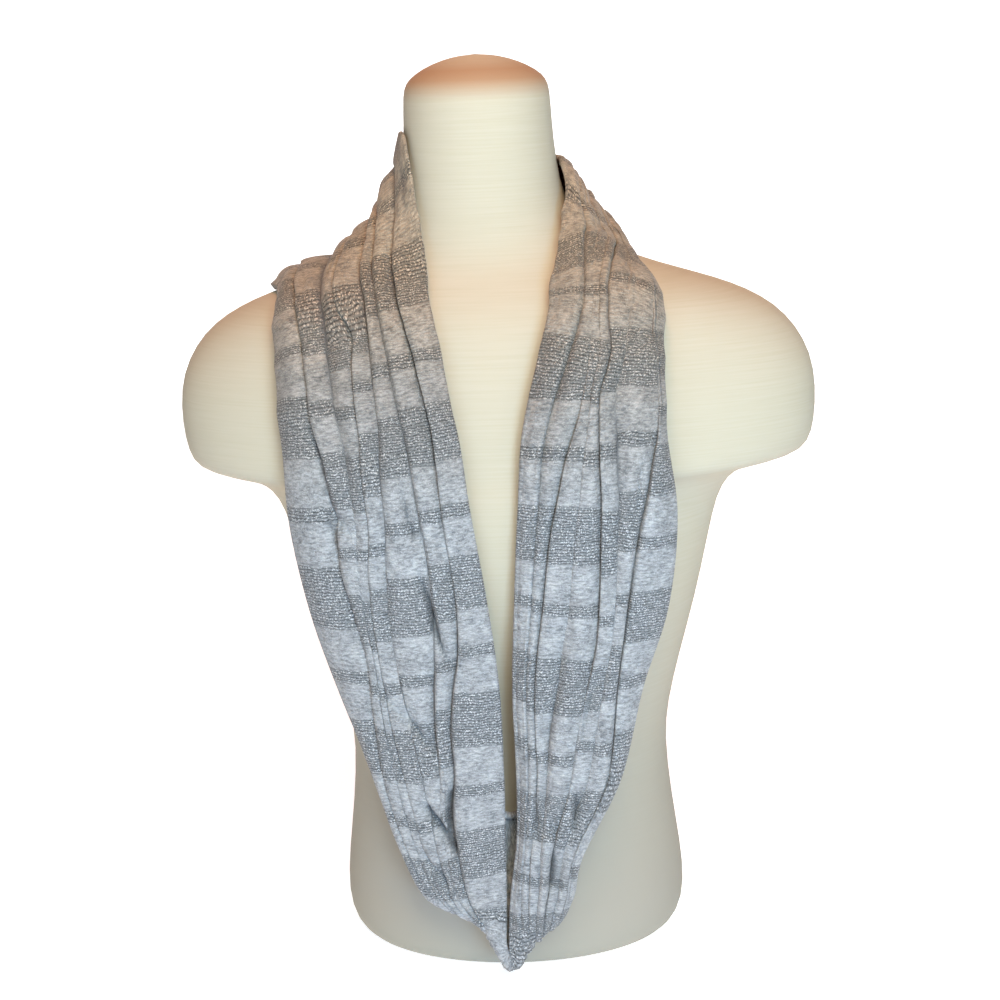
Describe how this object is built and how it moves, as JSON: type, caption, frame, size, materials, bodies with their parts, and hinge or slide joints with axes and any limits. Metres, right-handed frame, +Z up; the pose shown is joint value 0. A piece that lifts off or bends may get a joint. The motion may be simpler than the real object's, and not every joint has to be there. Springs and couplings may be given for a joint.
{
  "type": "infinity scarf on a dress form",
  "caption": "Wide striped knit infinity scarf worn as one long gathered loop on a limbless dress form that stands on its flat base.",
  "frame": {"origin": "on the floor, under the middle of the whole object", "axes": "+Z up, and the form faces -Y, so -X is the wearer's right"},
  "size_m": [0.487, 0.246, 0.688],
  "materials": {
    "form_jersey": "matte",
    "scarf_knit": "matte"
  },
  "bodies": {
    "root": {"dress_form": "form_jersey", "scarf_back_neck": "scarf_knit", "scarf_right_front": "scarf_knit", "scarf_left_front": "scarf_knit", "scarf_bottom": "scarf_knit"}
  },
  "joints": []
}
